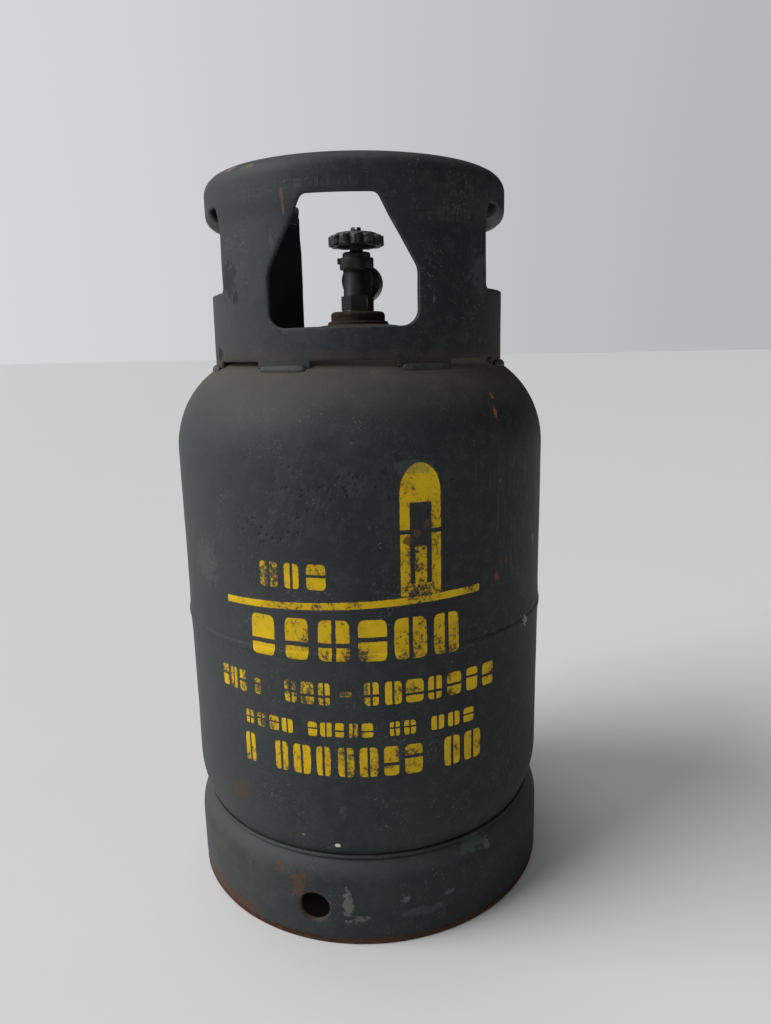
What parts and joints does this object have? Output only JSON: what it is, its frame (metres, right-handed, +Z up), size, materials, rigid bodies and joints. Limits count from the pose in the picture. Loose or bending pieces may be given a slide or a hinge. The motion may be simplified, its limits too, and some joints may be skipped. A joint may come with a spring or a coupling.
{
  "type": "gas cylinder",
  "caption": "Small steel gas cylinder with welded shells, foot ring, open-backed guard collar and a handwheel valve, in worn dark paint.",
  "frame": {"origin": "centre of the foot ring's lower edge, at floor level", "axes": "+Z up along the cylinder's axis; -Y is the front, where the collar's window is; +X is to the right seen from the front"},
  "size_m": [0.2496, 0.2496, 0.467],
  "materials": {
    "worn_paint": "matte charcoal paint, chalked and scuffed, with worn yellow stencil fields",
    "ring_paint": "matte charcoal paint, rusting at the lower edge",
    "collar_paint": "matte charcoal paint, chipped at the edges",
    "weld_beads": "painted weld bead, dusty",
    "rusty_boss": "rusty steel with traces of dark paint",
    "painted_brass": "brass under worn black paint",
    "bare_brass": "turned brass, dull",
    "gasket_fibre": "pressed fibre",
    "packing_white": "plain white sealing plastic",
    "seat_rubber": "matte black rubber",
    "wheel_paint": "cast wheel in worn green-black paint",
    "dark_screw": "blackened screw, dull"
  },
  "bodies": {
    "cylinder": {"upper_shell": "worn_paint", "lower_shell": "worn_paint", "seam_weld": "worn_paint", "foot_ring": "ring_paint", "foot_ring_weld": "ring_paint", "guard_collar": "collar_paint", "collar_welds": "weld_beads", "valve_boss": "rusty_boss", "boss_weld": "rusty_boss", "valve_body": "painted_brass", "bonnet_gasket": "gasket_fibre", "bonnet": "painted_brass", "slip_washer": "packing_white", "packing": "packing_white", "gland_ring": "bare_brass", "packing_nut": "painted_brass"},
    "wheel_and_spindle": {"spindle": "bare_brass", "handwheel": "wheel_paint", "wheel_screw": "dark_screw"},
    "plug": {"seat_plug": "bare_brass", "seat_disc": "seat_rubber"}
  },
  "joints": [
    {"name": "handwheel_turn", "type": "hinge", "parent": "cylinder", "child": "wheel_and_spindle", "pos_m": [0, 0, 0.43], "axis": [0, 0, 1], "range_deg": [0, 720]},
    {"name": "plug_lift", "type": "slide", "parent": "wheel_and_spindle", "child": "plug", "axis": [0, 0, 1], "range_m": [0, 0.003]}
  ],
  "couplings": [
    {"joint": "plug_lift", "follows": "handwheel_turn", "m_per_rad": 0.00023873}
  ]
}
